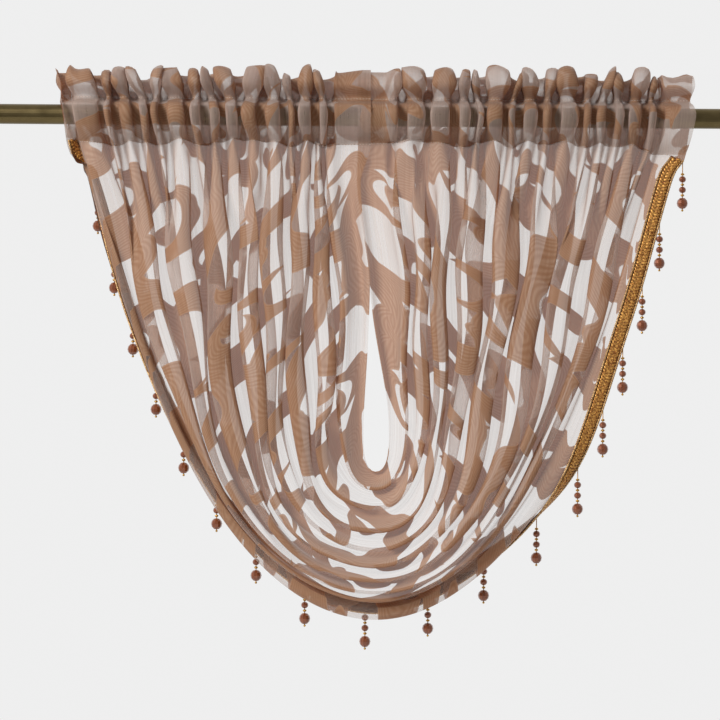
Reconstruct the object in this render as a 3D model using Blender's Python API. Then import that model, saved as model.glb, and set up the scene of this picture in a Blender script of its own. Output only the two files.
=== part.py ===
"""Sheer waterfall valance with a beaded braid, gathered on a curtain rod.

Run with: blender --background --python part.py
Metres, +Z up. The origin is on the rod's axis, above the swag's lowest point. +X runs along the rod,
-Y faces the room and +Y the other way.

The cloth is one piece. Its two slanting sides are turned over as a casing and gathered on the left and
right half of the rod, so the cloth between them hangs in nested U folds. Its short edge hangs free as
the narrow loop in the middle, and its long edge carries the braid and the bead drops.
"""

import math
from collections import namedtuple

import bmesh
import bpy
import numpy as np

# Cloth
CLOTH_THICK = 0.001
SWAG_MIDDLE = 0.006  # where the folds turn, from the middle of the rod

# One row for each fold's crest, from the free inner edge to the outline. Places along the rod are
# measured from its middle, left_top and right_top at the casing's seam, left_mid and right_mid at
# MID_DEPTH below the rod. drop is how far the crest hangs below the rod, front how far it stands out
# there, depth half the fold's height, lean how far its crest lies over towards the next fold outside.
Fold = namedtuple(
    "Fold", "left_top left_mid drop right_mid right_top roundness front depth left_lean right_lean"
)
FOLDS = (
    Fold(-0.004, -0.006, 0.388, 0.018, 0.010, 24.0, 0.024, 0.003, 0.0, 0.0),
    Fold(-0.029, -0.027, 0.404, 0.034, 0.033, 18.0, 0.030, 0.010, 0.20, 0.16),
    Fold(-0.052, -0.052, 0.423, 0.053, 0.056, 13.0, 0.040, 0.012, -0.20, 0.22),
    Fold(-0.078, -0.077, 0.447, 0.074, 0.080, 10.0, 0.048, 0.013, 0.26, -0.22),
    Fold(-0.108, -0.102, 0.468, 0.094, 0.116, 8.0, 0.054, 0.013, 0.18, 0.24),
    Fold(-0.139, -0.127, 0.486, 0.122, 0.156, 6.5, 0.058, 0.014, -0.24, 0.20),
    Fold(-0.175, -0.153, 0.502, 0.155, 0.197, 5.5, 0.059, 0.013, 0.26, 0.18),
    Fold(-0.220, -0.181, 0.516, 0.186, 0.243, 4.8, 0.057, 0.014, 0.22, -0.20),
    Fold(-0.272, -0.205, 0.526, 0.209, 0.287, 4.6, 0.050, 0.010, 0.16, 0.20),
    Fold(-0.325, -0.225, 0.536, 0.228, 0.322, 4.5, 0.042, 0.006, 0.10, 0.08),
)
MID_DEPTH = 0.312
LAST = len(FOLDS) - 1
FOLDS_OPEN = 0.25  # the share of the way down at which the folds have their full depth
TURN = (0.62, 0.95)  # and the shares between which they turn across at the bottom
BOTTOM_LEAN = 0.20  # all folds sag over the one below where they turn
FRONT_START = 0.05  # the share of the way down from which the folds stand out to the front
FRONT_POWER = 0.8  # below 1, so that they come out soonest near the top
INNER_GAP = 0.0035  # the free edge keeps this far from the middle
GAP_END = (0.9, 1.0)  # shares of the way down over which it comes in to the middle at last

# Casing, as stations up from its seam: height above the rod's axis, half the casing's depth, the
# gathers' half height, and the share of the way out that the cloth spreads past its seam there.
Station = namedtuple("Station", "height half_depth gather spread")
SEAM = Station(-0.031, 0.002, 0.009, 0.0)
CASING = (
    SEAM,
    Station(-0.017, 0.0175, 0.0075, 0.2),
    Station(0.000, 0.0235, 0.009, 0.4),
    Station(0.011, 0.0195, 0.006, 0.5),
    Station(0.0185, 0.002, 0.008, 0.5),
    Station(0.034, 0.011, 0.008, 0.8),
    Station(0.048, 0.0, 0.008, 1.0),
)
LEFT_SPREAD = 1.045
RIGHT_SPREAD = 1.022
FINE_SHARE = 0.55  # share of the gathers that stand between the outer folds
FINE_START = 3.0  # they begin outside this fold, and are whole from FINE_WHOLE
FINE_WHOLE = 5.0
FINE_END = 0.30  # the share of the way down a fold at which they have died out
CREST_RUFFLE = 0.0018  # how far the top edge rises and dips, once in two folds
CREST_SHIFT = 0.6
MEET_OVERLAP = 0.007  # the two halves of the casing overlap this far past the middle
MEET_DOWN = 0.12  # the share of the way down at which the overlap has ended
MEET_STEP = 0.0035  # the left half lies this far outside the right half there
MEET_STEP_END = (0.05, 0.30)  # shares of the way down between which that step dies out
MEET_FOLDS = (0.35, 0.9)  # folds from the middle, between which the overlap dies out
FLAT_FOLDS = (0.7, 1.1)  # the casing is flat up to the first, and fully gathered from the second

# Hem, the strip outside the last crest that the braid is sewn to
HEM_WIDE_TOP = 0.021
HEM_WIDE_BOTTOM = 0.046
HEM_WIDEN = (0.3, 0.9)  # shares of the way down between which it widens
LEFT_END_SHARE = 0.45  # of its width is left where it is caught in the left end of the seam
HEM_ROLL = math.radians(160)  # it is rolled to the back, but for the upper right side
LEFT_ROLL = math.radians(130)  # less far on the left side, above the turn
LEFT_ROLL_SHARE = 0.50  # the share of its width that is bent, and the rest lies flat behind
LEFT_ROLL_END = 0.22
RIGHT_ROLL_SHARE = 0.75
BOTTOM_ROLL_SHARE = 0.75
RIGHT_ROLL_START = 0.42
RIGHT_ROLL_END = 0.90

# Braid and bead drops
BRAID_WIDE = 0.016
BRAID_THICK = 0.0016
BRAID_GAP = 0.0015  # to the cloth's face
BRAID_MOST = 0.85  # share of the hem's width that it takes at most
DROP_COUNT = 18
DROP_SPACING = 0.0714
FIRST_DROP = 0.0125  # from the braid's upper right end
DROP_INSET = 0.125  # of half the braid's width, from its outer edge to the drops' roots
DROP_OUT = 0.0019  # from the braid's middle to its roots, away from the cloth
Ring = namedtuple("Ring", "below radius")
DROP_RINGS = (
    Ring(-0.0014, 0.0015),
    Ring(0.0014, 0.0015),
    Ring(0.0034, 0.0009),
    Ring(0.0150, 0.0009),
    Ring(0.0190, 0.0040),
    Ring(0.0228, 0.0020),
    Ring(0.0305, 0.0040),
    Ring(0.0350, 0.0020),
    Ring(0.0385, 0.0024),
    Ring(0.0430, 0.0060),
    Ring(0.0475, 0.0060),
    Ring(0.0515, 0.0020),
    Ring(0.0540, 0.0012),
)
DROP_SIDES = 4

# Rod
ROD_RADIUS = 0.011
ROD_LEFT = -0.430
ROD_RIGHT = 0.430
ROD_SIDES = 32

# Mesh steps
INNER_FOLDS = 4
INNER_STEPS = 4  # columns to a fold, inside this fold and outside it
OUTER_STEPS = 8
BODY_ROWS = (0.0, 0.06, 0.15, 0.27, 0.40, 0.53, 0.65, 0.76, 0.86, 0.93, 0.975, 1.0)
CURVE_POINTS = 160  # for measuring along a fold
ROLL_POINTS = 41  # for measuring around the hem's roll
FOLD_STEP = 0.02  # to either side across the folds, for the distance between their lines
DOWN_STEP = 0.01  # and up and down a fold, for its direction


def smooth(low, high, value):
    """0 below low, 1 above high, and a soft step between."""
    share = np.clip((value - low) / (high - low), 0.0, 1.0)
    return share * share * (3 - 2 * share)


def fold_value(column, fold):
    """A column of FOLDS at any place between folds, on a smooth curve through its rows."""
    rows = np.array([getattr(row, column) for row in FOLDS])
    fold = np.clip(np.asarray(fold, float), 0, LAST)
    low = np.minimum(fold.astype(int), LAST - 1)
    share = fold - low
    before, after = rows[np.maximum(low - 1, 0)], rows[np.minimum(low + 2, LAST)]
    start, end = rows[low], rows[low + 1]
    slope_start, slope_end = (end - before) / 2, (after - start) / 2
    return (
        start * (1 + 2 * share) * (1 - share) ** 2
        + slope_start * share * (1 - share) ** 2
        + end * share**2 * (3 - 2 * share)
        - slope_end * share**2 * (1 - share)
    )


def half_curve(side, fold, down):
    """Distance from the swag's middle and height of each fold's line, at shares down its length."""
    name = "left" if side < 0 else "right"
    top = side * (fold_value(name + "_top", fold) - SWAG_MIDDLE)
    mid = side * (fold_value(name + "_mid", fold) - SWAG_MIDDLE)
    power = fold_value("roundness", fold)
    depth = fold_value("drop", fold) + SEAM.height
    mid_share = (MID_DEPTH + SEAM.height) / depth
    taper = (mid / np.sqrt(1 - mid_share**power) - top) / mid_share
    away, height = np.empty((2, len(down), len(fold)))
    share = 1 - (1 - np.linspace(0, 1, CURVE_POINTS)) ** 3
    for i in range(len(fold)):
        out = (top[i] + taper[i] * share) * np.sqrt(1 - share ** power[i])
        low = SEAM.height - depth[i] * share
        length = np.concatenate([[0], np.cumsum(np.hypot(np.diff(out), np.diff(low)))])
        away[:, i] = np.interp(down, length / length[-1], out)
        height[:, i] = np.interp(down, length / length[-1], low)
    return away, height


def gathers(fold):
    """How far out the header's gathers stand, as a share: those of the main folds, and those between
    the outer folds."""
    calm = smooth(*FLAT_FOLDS, fold)
    fine = FINE_SHARE * smooth(FINE_START, FINE_WHOLE, fold)
    return calm * (1 - fine), calm * fine * np.cos(4 * np.pi * fold)


def meeting(fold):
    """1 where the casing's two halves overlap in the middle, and 0 clear of it."""
    return 1 - smooth(*MEET_FOLDS, fold)


def body_points(side, down, fold):
    """The cloth's middle surface below the seam, as away, y and height, and the outward direction."""
    away, height = half_curve(side, fold, down)
    wider, tighter = np.minimum(fold + FOLD_STEP, LAST), np.maximum(fold - FOLD_STEP, 0)
    further = np.stack(half_curve(side, wider, down)) - np.stack(half_curve(side, tighter, down))
    further /= wider - tighter
    lower, upper = np.minimum(down + DOWN_STEP, 1), np.maximum(down - DOWN_STEP, 0)
    along = np.stack(half_curve(side, fold, lower)) - np.stack(half_curve(side, fold, upper))
    along /= np.hypot(*along)
    out = np.stack([-along[1], along[0]])
    pitch = (further * out).sum(0)

    rows = down[:, None]
    wave = np.cos(2 * np.pi * fold)
    main, fine = gathers(fold)
    open_up = smooth(0.0, FOLDS_OPEN, rows)
    depth = SEAM.gather * main * (1 - open_up) + fold_value("depth", fold) * open_up
    fine = SEAM.gather * fine * (1 - smooth(0.0, FINE_END, rows))
    turn = smooth(*TURN, rows)
    own_lean = fold_value("left_lean" if side < 0 else "right_lean", fold) * open_up
    shift = pitch * wave * (own_lean * (1 - turn) + BOTTOM_LEAN * turn)
    front = SEAM.half_depth + fold_value("front", fold) * smooth(FRONT_START, 1.0, rows) ** FRONT_POWER
    if side < 0:
        front = front + MEET_STEP * meeting(fold) * (1 - smooth(*MEET_STEP_END, rows))
    y = -front - depth * wave - fine
    away = np.maximum(away + out[0] * shift, INNER_GAP * (1 - smooth(*GAP_END, rows)))
    away = away - 2 * MEET_OVERLAP * meeting(fold) * (1 - smooth(0.0, MEET_DOWN, rows))
    return away, y, height + out[1] * shift, out


def hem_width(side, rows):
    """How wide the hem's strip is at each share of the way down."""
    width = HEM_WIDE_TOP + (HEM_WIDE_BOTTOM - HEM_WIDE_TOP) * smooth(*HEM_WIDEN, rows)
    if side < 0:
        width = width * (LEFT_END_SHARE + (1 - LEFT_END_SHARE) * smooth(0.0, LEFT_ROLL_END, rows))
    return width


def hem_shares(side, rows):
    """Shares of the hem's width halfway to the braid, and at its inner edge, middle and outer edge."""
    braid = np.minimum(BRAID_WIDE / hem_width(side, rows), BRAID_MOST)
    return np.hstack([(1 - braid) / 2, 1 - braid, 1 - braid / 2, np.ones_like(braid)])


def hem_points(side, down):
    """The strip outside the last crest, as away, y and height."""
    away, y, height, out = body_points(side, down, np.array([float(LAST)]))
    rows = down[:, None]
    if side < 0:
        roll = LEFT_ROLL + (HEM_ROLL - LEFT_ROLL) * smooth(*HEM_WIDEN, rows)
        roll, bent = roll * smooth(0.0, LEFT_ROLL_END, rows), LEFT_ROLL_SHARE
    else:
        roll, bent = HEM_ROLL * smooth(RIGHT_ROLL_START, RIGHT_ROLL_END, rows), RIGHT_ROLL_SHARE
    bent = bent + (BOTTOM_ROLL_SHARE - bent) * smooth(*HEM_WIDEN, rows)
    fine = np.linspace(0, 1, ROLL_POINTS)
    angle = roll * smooth(0.0, bent, fine)
    step = np.diff(fine, prepend=0)
    shares = hem_shares(side, rows)
    turned = []
    for part in (np.cos(angle), np.sin(angle)):
        travelled = np.cumsum(part * step, axis=1)
        turned.append(np.stack([np.interp(share, fine, row) for share, row in zip(shares, travelled)]))
    sideways, backwards = hem_width(side, rows) * np.stack(turned)
    return away + out[0] * sideways, y + backwards, height + out[1] * sideways


def casing_rows(side, fold):
    """Rows of the turned-over casing up its front, and up its back."""
    away, _, _, _ = body_points(side, np.array([0.0]), fold)
    seam = np.array([[0.0]])
    hem = away[0][-1] + (hem_width(side, seam) * hem_shares(side, seam))[0]
    out = np.concatenate([away[0], hem])
    wide = np.concatenate([fold, np.full(len(hem), float(LAST))])
    main, fine = gathers(wide)
    wave = main * np.cos(2 * np.pi * wide) + fine
    spread = (LEFT_SPREAD if side < 0 else RIGHT_SPREAD) - 1
    outside = MEET_STEP * meeting(wide) * (side < 0)
    top = CASING[-1]
    faces = []
    for face in (-1, 1):
        rows = []
        for station in CASING[:-1]:
            y = face * (station.half_depth + outside) - station.gather * wave
            rows.append((out * (1 + spread * station.spread), y, np.full(len(out), station.height)))
        ruffle = CREST_RUFFLE * smooth(*FLAT_FOLDS, wide) * np.cos(np.pi * wide + CREST_SHIFT)
        rows.append((out * (1 + spread), -top.gather * wave, top.height + outside + ruffle))
        faces.append(rows)
    return faces


def grid_mesh(name, rows):
    """A mesh of triangles through rows of points, each row an array of xyz."""
    mesh = bpy.data.meshes.new(name)
    shape = bmesh.new()
    made = [[shape.verts.new(point) for point in row] for row in rows]
    for upper, lower in zip(made, made[1:]):
        for i in range(len(upper) - 1):
            shape.faces.new((upper[i], upper[i + 1], lower[i + 1]))
            shape.faces.new((upper[i], lower[i + 1], lower[i]))
    shape.to_mesh(mesh)
    shape.free()
    return mesh


def placed(side, away, y, height):
    """Rows of xyz from distances from the swag's middle."""
    return np.stack([SWAG_MIDDLE + side * away, y, height], axis=-1)


def half_rows(side):
    """The cloth's rows on one side, from the casing's raw edge at the back to the swag's bottom."""
    inner = np.linspace(0, INNER_FOLDS, INNER_FOLDS * INNER_STEPS + 1)
    outer = np.linspace(INNER_FOLDS, LAST, (LAST - INNER_FOLDS) * OUTER_STEPS + 1)
    fold = np.concatenate([inner, outer[1:]])
    front, back = casing_rows(side, fold)
    casing = [placed(side, *row) for row in back[:-1] + front[:0:-1]]
    down = np.array(BODY_ROWS)
    away, y, height, _ = body_points(side, down, fold)
    hem = hem_points(side, down)
    return casing + list(placed(side, *(np.hstack(pair) for pair in zip((away, y, height), hem))))


def material(name, colour, roughness, metallic=0.0, alpha=1.0):
    made = bpy.data.materials.new(name)
    made.use_nodes = True
    shader = made.node_tree.nodes["Principled BSDF"]
    shader.inputs["Base Color"].default_value = (*colour, 1)
    shader.inputs["Roughness"].default_value = roughness
    shader.inputs["Metallic"].default_value = metallic
    shader.inputs["Alpha"].default_value = alpha
    return made


def add_object(name, mesh, finish):
    made = bpy.data.objects.new(name, mesh)
    bpy.context.scene.collection.objects.link(made)
    mesh.materials.append(finish)
    mesh.shade_smooth()
    return made


def thicken(made, thickness):
    """Gives a surface its thickness, half to each side."""
    solid = made.modifiers.new("Thickness", "SOLIDIFY")
    solid.thickness = thickness
    solid.offset = 0


def build_cloth():
    """The one piece of cloth: casing, gathers, swag folds and hem. Gives the strip that the braid is
    sewn to, and the way it faces."""
    left, right = half_rows(-1), half_rows(1)
    rows = np.array(left + right[-2::-1])
    finish = material("voile", (0.62, 0.47, 0.38), 0.6, alpha=0.85)
    mesh = grid_mesh("valance_cloth", rows)
    normals = np.array([vertex.normal for vertex in mesh.vertices]).reshape(rows.shape)
    thicken(add_object("valance_cloth", mesh, finish), CLOTH_THICK)
    seam = 2 * len(CASING) - 2
    return rows[seam:-seam, -3:], normals[seam:-seam, -3:]


def drop_places(edge):
    """Evenly spaced points along the braid's outer edge, from its upper right end."""
    edge = edge[::-1]
    length = np.concatenate([[0], np.cumsum(np.linalg.norm(np.diff(edge, axis=0), axis=1))])
    wanted = FIRST_DROP + DROP_SPACING * np.arange(DROP_COUNT)
    return np.stack([np.interp(wanted, length, edge[:, axis]) for axis in range(3)], axis=1)


def drop_mesh(name, place):
    """One string of beads hanging from place, as rings around a plumb line."""
    mesh = bpy.data.meshes.new(name)
    shape = bmesh.new()
    turns = [2 * math.pi * i / DROP_SIDES for i in range(DROP_SIDES)]
    made = []
    for ring in DROP_RINGS:
        centre = place[0], place[1], place[2] - ring.below
        made.append(
            [
                shape.verts.new(
                    (centre[0] + ring.radius * math.cos(a), centre[1] + ring.radius * math.sin(a), centre[2])
                )
                for a in turns
            ]
        )
    for upper, lower in zip(made, made[1:]):
        for i in range(DROP_SIDES):
            after = (i + 1) % DROP_SIDES
            shape.faces.new((upper[i], lower[i], lower[after], upper[after]))
    shape.faces.new(made[0])
    shape.faces.new(reversed(made[-1]))
    bmesh.ops.recalc_face_normals(shape, faces=shape.faces)
    shape.to_mesh(mesh)
    shape.free()
    return mesh


def build_fringe(hem, faces):
    """The braid, on the face of the hem's outer part, with its bead drops fused to its outer edge."""
    gold = material("gold_braid", (0.48, 0.25, 0.06), 0.45, 0.3)
    rows = hem + faces * (CLOTH_THICK / 2 + BRAID_GAP + BRAID_THICK / 2)
    braid = add_object("beaded_braid", grid_mesh("beaded_braid", rows), gold)
    thicken(braid, BRAID_THICK)
    drops = bpy.data.collections.new("drops")
    bpy.context.scene.collection.children.link(drops)
    roots = rows[:, -1] + (rows[:, -2] - rows[:, -1]) * DROP_INSET + faces[:, -1] * DROP_OUT
    for number, place in enumerate(drop_places(roots)):
        name = f"drop_{number + 1:02d}"
        drop = bpy.data.objects.new(name, drop_mesh(name, place))
        drop.hide_render = True
        drop.display_type = "WIRE"
        drops.objects.link(drop)
    union = braid.modifiers.new("Drops", "BOOLEAN")
    union.operation = "UNION"
    union.operand_type = "COLLECTION"
    union.collection = drops
    union.solver = "EXACT"


def build_rod():
    """The plain round rod, cut square at both ends."""
    bronze = material("bronze_rod", (0.17, 0.13, 0.06), 0.35, 0.8)
    mesh = bpy.data.meshes.new("curtain_rod")
    shape = bmesh.new()
    bmesh.ops.create_cone(
        shape,
        cap_ends=True,
        segments=ROD_SIDES,
        radius1=ROD_RADIUS,
        radius2=ROD_RADIUS,
        depth=ROD_RIGHT - ROD_LEFT,
    )
    shape.to_mesh(mesh)
    shape.free()
    rod = add_object("curtain_rod", mesh, bronze)
    rod.rotation_euler = (0, math.pi / 2, 0)
    rod.location = ((ROD_LEFT + ROD_RIGHT) / 2, 0, 0)
    mesh.set_sharp_from_angle(angle=math.radians(40))


def main():
    for old in list(bpy.data.objects):
        bpy.data.objects.remove(old)
    build_rod()
    hem, faces = build_cloth()
    build_fringe(hem, faces)


main()
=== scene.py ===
"""Sheer waterfall valance on its rod, with its woven cloth, gold braid and bead drops.

Metres, +Z up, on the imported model's frame: +X along the rod, -Y towards the room.
"""

import math
from collections import namedtuple

import bmesh
import bpy
import numpy as np
from mathutils import Matrix, Vector


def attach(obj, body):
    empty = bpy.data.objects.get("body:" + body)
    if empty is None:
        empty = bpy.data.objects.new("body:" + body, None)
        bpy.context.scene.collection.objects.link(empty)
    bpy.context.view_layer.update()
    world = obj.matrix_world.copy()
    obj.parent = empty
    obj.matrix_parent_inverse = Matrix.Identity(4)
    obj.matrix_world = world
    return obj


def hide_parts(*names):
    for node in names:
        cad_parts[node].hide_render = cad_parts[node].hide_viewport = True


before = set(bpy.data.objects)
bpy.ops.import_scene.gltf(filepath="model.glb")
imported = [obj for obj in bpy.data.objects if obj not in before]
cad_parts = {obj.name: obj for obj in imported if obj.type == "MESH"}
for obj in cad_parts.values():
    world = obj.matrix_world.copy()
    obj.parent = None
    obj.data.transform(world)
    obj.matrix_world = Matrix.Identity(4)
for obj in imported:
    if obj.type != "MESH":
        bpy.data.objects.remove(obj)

bl_info = {
    "name": "Waterfall valance",
    "version": (1, 0, 0),
    "blender": (4, 2, 0),
    "location": "View3D > Sidebar > Valance",
    "description": "A sheer swag valance with gold braid and bead drops on a curtain rod",
    "category": "Add Mesh",
}

# Swag folds
# One row for each fold's crest, from the free inner edge to the outline. Places along the rod are
# measured from its middle, left_top and right_top at the casing's seam, left_mid and right_mid at
# MID_DEPTH below the rod. drop is how far the crest hangs below the rod, front how far it stands out
# there, depth half the fold's height, lean how far its crest lies over towards the next fold outside.
SWAG_MIDDLE = 0.006  # where the swag's middle lies along the rod
Fold = namedtuple(
    "Fold", "left_top left_mid drop right_mid right_top roundness front depth left_lean right_lean"
)
FOLDS = (
    Fold(-0.004, -0.006, 0.388, 0.018, 0.010, 24.0, 0.024, 0.003, 0.0, 0.0),
    Fold(-0.029, -0.027, 0.404, 0.034, 0.033, 18.0, 0.030, 0.010, 0.20, 0.16),
    Fold(-0.052, -0.052, 0.423, 0.053, 0.056, 13.0, 0.040, 0.012, -0.20, 0.22),
    Fold(-0.078, -0.077, 0.447, 0.074, 0.080, 10.0, 0.048, 0.013, 0.26, -0.22),
    Fold(-0.108, -0.102, 0.468, 0.094, 0.116, 8.0, 0.054, 0.013, 0.18, 0.24),
    Fold(-0.139, -0.127, 0.486, 0.122, 0.156, 6.5, 0.058, 0.014, -0.24, 0.20),
    Fold(-0.175, -0.153, 0.502, 0.155, 0.197, 5.5, 0.059, 0.013, 0.26, 0.18),
    Fold(-0.220, -0.181, 0.516, 0.186, 0.243, 4.8, 0.057, 0.014, 0.22, -0.20),
    Fold(-0.272, -0.205, 0.526, 0.209, 0.287, 4.6, 0.050, 0.010, 0.16, 0.20),
    Fold(-0.325, -0.225, 0.536, 0.228, 0.322, 4.5, 0.042, 0.006, 0.10, 0.08),
)
MID_DEPTH = 0.312
LAST = len(FOLDS) - 1
FOLDS_OPEN = 0.25  # the share of the way down at which the folds have their full depth
TURN = (0.62, 0.95)  # and the shares between which they turn across at the bottom
BOTTOM_LEAN = 0.20
# The share of the way down from which the folds stand out further to the front, and how: below 1,
# so that they do so soonest near the seam
FRONT_START = 0.05
FRONT_POWER = 0.8
INNER_GAP = 0.0035  # the least from the swag's middle to its free edge
GAP_END = (0.9, 1.0)
# How far each fold's head swells out over its neck, as a share of the way to the next fold
SWELLS = (0.0, 0.16, 0.27, 0.22, 0.31, 0.24, 0.29, 0.20, 0.27, 0.12)
BOTTOM_SWELL = 0.09
BOTTOM_DEPTH = 0.72  # of the folds' depth is left where they turn
SWELL_FOLDS = (0.5, 1.5)  # folds from the middle, between which they begin to swell
LEAN_SHARE = 0.6  # of the folds' lean is left where their heads are as full as here
# The folds wander to either side on their way down: how far as a share of the way to the next fold,
# how many turns of a wave it makes, how far one fold's wave is behind its neighbour's, in radians, and
# the shares of the way down between which it comes and goes
SWAY = 0.13
SWAY_TURNS = 2.3
SWAY_STEP = 1.9
SWAY_START = (0.05, 0.30)
SWAY_END = (0.86, 1.0)

# Casing, as stations up from its seam: height above the rod's axis, half the casing's depth, the
# gathers' half height, the share of the way out that the cloth spreads past its seam there, how far
# the gathers' heads swell over their necks, as a share of a gather, and the share of their lean.
Station = namedtuple("Station", "height half_depth gather spread swell lean")
SEAM = Station(-0.031, 0.002, 0.009, 0.0, 0.0, 0.0)
CASING = (
    SEAM,
    Station(-0.017, 0.0175, 0.0085, 0.2, 0.10, -0.6),
    Station(0.000, 0.0235, 0.0095, 0.4, 0.15, -1.1),
    Station(0.011, 0.0195, 0.0075, 0.5, 0.10, -0.6),
    Station(0.0185, 0.003, 0.0085, 0.5, 0.06, 0.0),
    Station(0.032, 0.0125, 0.0140, 0.8, 0.27, 1.0),
    Station(0.0425, 0.0090, 0.0130, 0.95, 0.23, 1.5),
    Station(0.0475, 0.0, 0.011, 1.0, 0.18, 1.6),
)
LEFT_SPREAD = 1.045
RIGHT_SPREAD = 1.022

# Gathers of the header, from the middle out: how wide each one's head is along the rod, how far its
# crest stands above the frill's usual height, and how far it leans away from the middle there.
Gather = namedtuple("Gather", "width rise lean")
LEFT_GATHERS = (
    Gather(0.053, 0.000, 0.000),
    Gather(0.014, -0.002, 0.002),
    Gather(0.022, 0.002, -0.002),
    Gather(0.012, -0.003, 0.003),
    Gather(0.023, 0.001, -0.001),
    Gather(0.024, 0.002, -0.004),
    Gather(0.022, 0.003, 0.002),
    Gather(0.017, 0.000, 0.004),
    Gather(0.017, -0.002, -0.002),
    Gather(0.027, 0.003, 0.001),
    Gather(0.014, -0.002, -0.003),
    Gather(0.017, 0.000, 0.003),
    Gather(0.021, 0.001, 0.002),
    Gather(0.012, -0.003, -0.002),
    Gather(0.038, 0.000, 0.001),
    Gather(0.030, 0.004, 0.000),
)
RIGHT_GATHERS = (
    Gather(0.026, 0.001, 0.001),
    Gather(0.028, 0.003, -0.002),
    Gather(0.030, 0.001, 0.003),
    Gather(0.018, -0.002, -0.001),
    Gather(0.012, 0.001, -0.004),
    Gather(0.027, 0.003, 0.002),
    Gather(0.012, -0.003, 0.003),
    Gather(0.023, 0.003, -0.001),
    Gather(0.016, 0.000, 0.002),
    Gather(0.027, 0.003, -0.003),
    Gather(0.016, -0.002, 0.001),
    Gather(0.017, 0.002, 0.003),
    Gather(0.016, -0.001, -0.002),
    Gather(0.022, 0.001, 0.002),
    Gather(0.012, -0.004, -0.001),
    Gather(0.060, -0.006, -0.003),
)
NECK_WIDE = 0.0050  # from a gather's neck to where its head is half out
GATHER_BLUR = 0.0015  # over which a gather's shape is rounded off
BLUR_POINTS = 8  # to either side, over that length
LOBE_POWER = 1.7  # above 1, so that a crest is round at its top and sharp where it meets the next
WIDEST_SWELL = 0.030  # a wider gather swells no more than one of this width
CREST_LOBE = 0.0095  # how far a head's crest rounds up from its necks
CREST_TILT = 0.9  # how far it is higher on the side towards which it leans, as a share of the lean
SEAM_SAG = 1.6  # how far the seam follows the crests' rise and fall
SAG_REACH = 0.030  # and how far from the seam that can be seen
GATHER_PINCH = 0.06  # the share of the way down by which the gathers swell again below the seam
GATHER_SWELL = 0.14
GATHER_END = 0.32  # the share of the way down the folds at which the gathers have died out
# The frill's uneven ruffles, as waves along the rod that move its crest sideways, out and up: how
# long and how high each wave is, and where it starts in radians
Wave = namedtuple("Wave", "long high start")
RUFFLE_ACROSS = (Wave(0.047, 0.0035, 1.0), Wave(0.0171, 0.0014, 0.4))
RUFFLE_OUT = (Wave(0.0235, 0.0030, 0.5), Wave(0.061, 0.0030, 2.2))
RUFFLE_UP = (Wave(0.031, 0.0022, 2.0), Wave(0.0137, 0.0013, 0.9))
# Where the casing's two halves meet: how far each goes past the swag's middle and the share of the
# way down at which it no longer does, how far the left one lies in front and where that ends, and the
# folds over which this dies out
MEET_OVERLAP = 0.007
MEET_DOWN = 0.12
MEET_STEP = 0.0035
MEET_STEP_END = (0.42, 0.52)
MEET_FOLDS = (0.35, 0.9)
# How far the two edges of the slit are drawn towards each other, and how far both are drawn to the
# left higher up, with the shares of the way down between which each dies out
LEFT_SLIT_CLOSED = 0.0035
RIGHT_SLIT_CLOSED = 0.0160
SLIT_OPENS = (0.42, 0.85)
SLIT_SHIFT = 0.012
SLIT_SHIFT_END = (0.10, 0.45)
SLIT_SHIFT_FOLDS = (1.0, 3.0)
FLAT_FOLDS = (0.7, 1.1)  # between which the gathers and the folds' swell begin

# Minor creases, as soft ridges on the folds: the half they lie on, their place across the folds at
# the seam's side and how far they drift across from their upper to their lower end, those ends as
# shares of the way down, half their width in folds, and their height, below 0 for a trough.
Crease = namedtuple("Crease", "side fold drift upper lower half_wide height")
CREASES = (
    Crease(-1, 1.15, 0.30, 0.05, 0.75, 0.07, 0.0016),
    Crease(-1, 2.20, -0.35, 0.10, 0.60, 0.06, -0.0018),
    Crease(-1, 3.05, 0.25, 0.02, 0.45, 0.05, 0.0020),
    Crease(-1, 3.70, 0.40, 0.30, 0.90, 0.08, -0.0018),
    Crease(-1, 4.30, -0.30, 0.05, 0.55, 0.06, 0.0022),
    Crease(-1, 5.10, 0.35, 0.25, 0.95, 0.07, 0.0018),
    Crease(-1, 5.80, -0.45, 0.00, 0.50, 0.06, -0.0022),
    Crease(-1, 6.55, 0.30, 0.12, 0.70, 0.07, 0.0020),
    Crease(-1, 7.25, -0.40, 0.05, 0.60, 0.06, -0.0020),
    Crease(-1, 8.10, 0.35, 0.20, 0.80, 0.07, 0.0016),
    Crease(-1, 1.60, 1.50, 0.60, 0.99, 0.16, 0.0060),
    Crease(-1, 5.20, -1.40, 0.66, 0.98, 0.15, 0.0055),
    Crease(-1, 6.10, 1.60, 0.58, 0.97, 0.14, 0.0045),
    Crease(1, 0.55, 0.20, 0.04, 0.50, 0.10, 0.0014),
    Crease(1, 1.35, -0.30, 0.15, 0.80, 0.08, -0.0016),
    Crease(1, 2.10, 0.35, 0.02, 0.55, 0.06, 0.0020),
    Crease(1, 2.80, -0.35, 0.30, 0.90, 0.07, -0.0018),
    Crease(1, 3.60, 0.30, 0.08, 0.65, 0.06, 0.0022),
    Crease(1, 4.45, -0.40, 0.00, 0.50, 0.06, -0.0020),
    Crease(1, 5.05, 0.40, 0.25, 0.92, 0.08, 0.0018),
    Crease(1, 5.95, 0.30, 0.05, 0.60, 0.06, -0.0022),
    Crease(1, 6.80, -0.35, 0.10, 0.75, 0.07, 0.0018),
    Crease(1, 7.60, 0.35, 0.02, 0.50, 0.06, -0.0018),
    Crease(1, 8.20, -0.25, 0.20, 0.85, 0.07, 0.0014),
    Crease(1, 2.60, 1.50, 0.62, 0.99, 0.16, 0.0060),
    Crease(1, 6.40, -1.50, 0.68, 0.98, 0.15, 0.0050),
    Crease(1, 7.70, -1.20, 0.55, 0.93, 0.13, 0.0045),
)
CREASE_END = 0.12  # the share of the way down over which a crease comes and goes

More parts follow.
